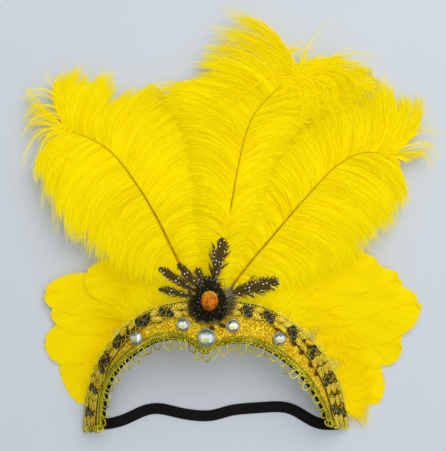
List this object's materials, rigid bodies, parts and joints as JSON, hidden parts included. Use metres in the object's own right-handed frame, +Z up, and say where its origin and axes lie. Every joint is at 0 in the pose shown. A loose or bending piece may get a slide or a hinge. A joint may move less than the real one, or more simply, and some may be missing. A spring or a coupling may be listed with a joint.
{
  "type": "feather headdress",
  "caption": "Arched fabric-covered brow band with braid, sequins and clear stones, carrying tall yellow plumes and side feathers round a dark rosette, lying flat with its elastic strap",
  "frame": {"origin": "middle of the base of the bounding box, on the surface that the headdress lies on", "axes": "+Z up from the surface, +Y from the strap towards the plume tips, +X towards the wearer's left side, on the right as seen from above"},
  "size_m": [0.3304, 0.3286, 0.0663],
  "materials": {
    "band": "matt black felt over foam",
    "cover": "sparkling orange-gold mesh",
    "braid": "ribbed metallic gimp",
    "trim": "bronze sequins and gold gimp leaves",
    "stone": "clear cut stone with a silver foil back",
    "amber": "orange cut stone with a foil back",
    "rosette": "dark brown tufted down",
    "guinea": "black feather with white dots",
    "plume": "dyed bright yellow down barbs",
    "goose": "dyed golden yellow smooth vane",
    "elastic": "black woven elastic"
  },
  "bodies": {
    "root": {"amber_stone": "amber", "band_cover": "cover", "brow_band": "band", "elastic_strap": "elastic", "goose_feather_left_1": "goose", "goose_feather_left_2": "goose", "goose_feather_left_3": "goose", "goose_feather_left_4": "goose", "goose_feather_left_5": "goose", "goose_feather_right_1": "goose", "goose_feather_right_2": "goose", "goose_feather_right_3": "goose", "goose_feather_right_4": "goose", "goose_feather_right_5": "goose", "goose_feather_right_6": "goose", "guinea_feather_1": "guinea", "guinea_feather_2": "guinea", "guinea_feather_3": "guinea", "guinea_feather_4": "guinea", "guinea_feather_5": "guinea", "guinea_feather_6": "guinea", "lower_braid": "braid", "ostrich_plume_back_left": "plume", "ostrich_plume_back_right": "plume", "ostrich_plume_centre": "plume", "ostrich_plume_left": "plume", "ostrich_plume_right": "plume", "rhinestone_centre": "stone", "rhinestone_left_inner": "stone", "rhinestone_left_outer": "stone", "rhinestone_right_inner": "stone", "rhinestone_right_outer": "stone", "rosette_pad": "rosette", "sequin_trim_left": "trim", "sequin_trim_right": "trim"}
  },
  "joints": []
}
